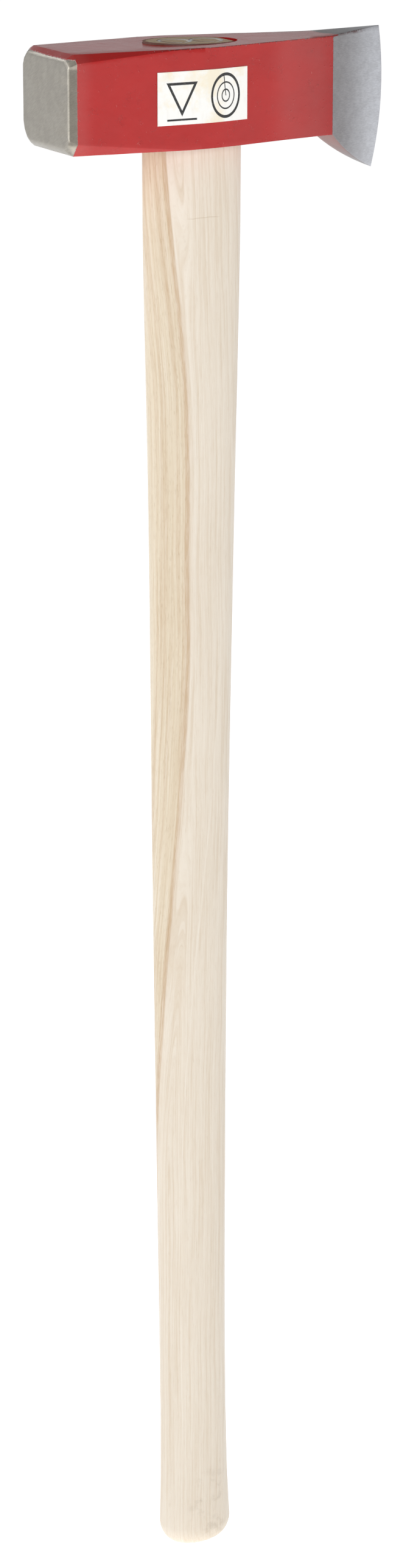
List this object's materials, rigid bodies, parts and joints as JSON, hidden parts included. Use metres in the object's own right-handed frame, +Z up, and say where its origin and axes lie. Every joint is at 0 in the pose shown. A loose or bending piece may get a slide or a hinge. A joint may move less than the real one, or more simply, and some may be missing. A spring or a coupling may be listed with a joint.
{
  "type": "splitting maul",
  "caption": "Long-handled splitting maul: forged steel head with a flat square poll and a flared bearded splitting edge, on an oval wooden handle held by ring wedges.",
  "frame": {"origin": "middle of the handle's rounded butt end, on the handle's axis through the eye", "axes": "+Z up the handle to the head, +X from the poll to the cutting edge, -Y the cheek with the label"},
  "size_m": [0.1968, 0.0602, 0.8524],
  "materials": {
    "head_paint": "gloss red lacquer on forged steel, ground bare at the striking face and the blade",
    "ash_wood": "fine-sanded pale ash, unvarnished",
    "ring_steel": "plain rolled steel",
    "sticker_film": "satin off-white film with thin black outlines"
  },
  "bodies": {
    "root": {"head": "head_paint", "handle": "ash_wood", "ring_wedge_poll_side": "ring_steel", "ring_wedge_blade_side": "ring_steel", "label": "sticker_film"}
  },
  "joints": []
}
